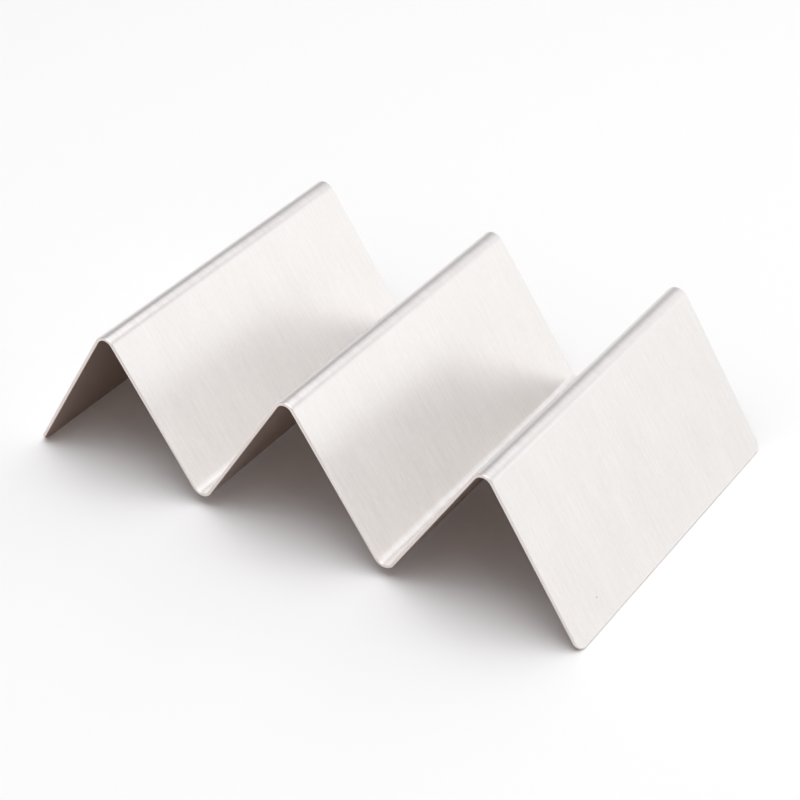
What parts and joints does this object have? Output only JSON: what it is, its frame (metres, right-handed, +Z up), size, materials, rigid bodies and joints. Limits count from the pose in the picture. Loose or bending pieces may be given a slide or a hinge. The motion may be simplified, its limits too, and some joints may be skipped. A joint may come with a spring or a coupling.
{
  "type": "taco holder",
  "caption": "Zigzag rack folded from one strip of stainless sheet: troughs between its peaks hold filled tacos upright, on two sloping legs.",
  "frame": {"origin": "on the table, at the middle of the footprint, below the centre peak", "axes": "+Z up from the table, X across the folds from the left leg to the right leg, Y along the folds"},
  "size_m": [0.1718, 0.1016, 0.043],
  "materials": {
    "stainless_sheet": "fine brushed satin, grain running down the panels, with pale deburred cut edges"
  },
  "bodies": {
    "root": {"folded_sheet": "stainless_sheet"}
  },
  "joints": []
}
